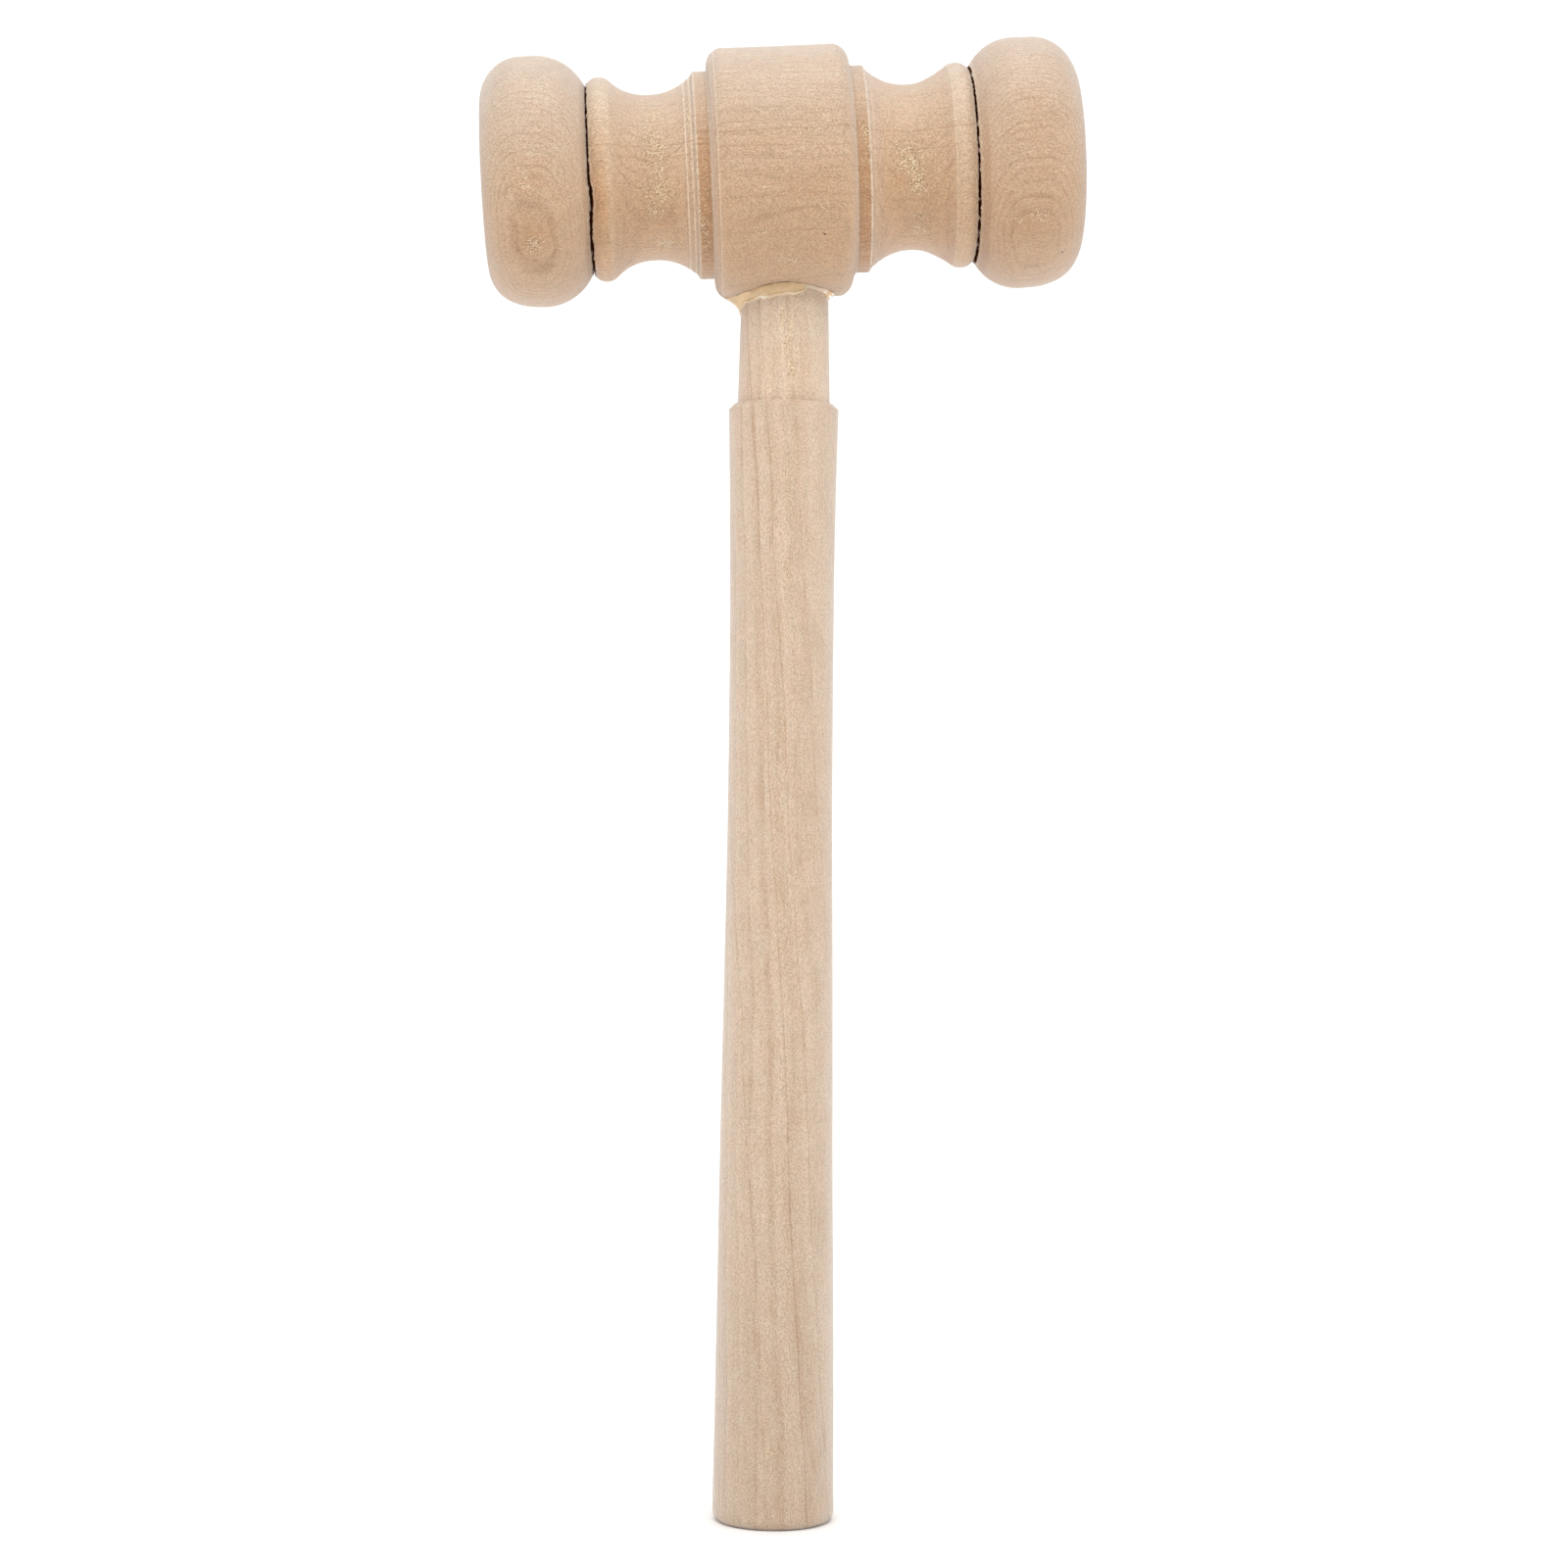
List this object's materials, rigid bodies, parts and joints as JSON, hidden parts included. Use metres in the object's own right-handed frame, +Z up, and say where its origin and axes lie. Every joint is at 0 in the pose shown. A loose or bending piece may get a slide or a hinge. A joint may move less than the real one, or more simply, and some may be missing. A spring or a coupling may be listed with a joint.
{
  "type": "carving mallet",
  "caption": "Small wooden carving mallet: a turned cross head with hollow coves and round end knobs on a tapered turned handle.",
  "frame": {"origin": "centre of the flat end of the handle", "axes": "+Z up the handle towards the head, +X along the head towards its slightly higher end, +Y away from the side that the picture shows"},
  "size_m": [0.1021, 0.0422, 0.2523],
  "materials": {
    "head_wood": "bare, fine sanded",
    "knob_wood": "bare, fine sanded",
    "handle_wood": "bare, fine sanded",
    "dowel_wood": "bare, rough sawn grooves",
    "glue": "dried yellow wood glue, half clear"
  },
  "bodies": {
    "root": {"head_body": "head_wood", "left_knob": "knob_wood", "right_knob": "knob_wood", "left_dowel": "dowel_wood", "right_dowel": "dowel_wood", "left_seam_glue": "glue", "right_seam_glue": "glue", "handle": "handle_wood", "handle_glue": "glue"}
  },
  "joints": []
}
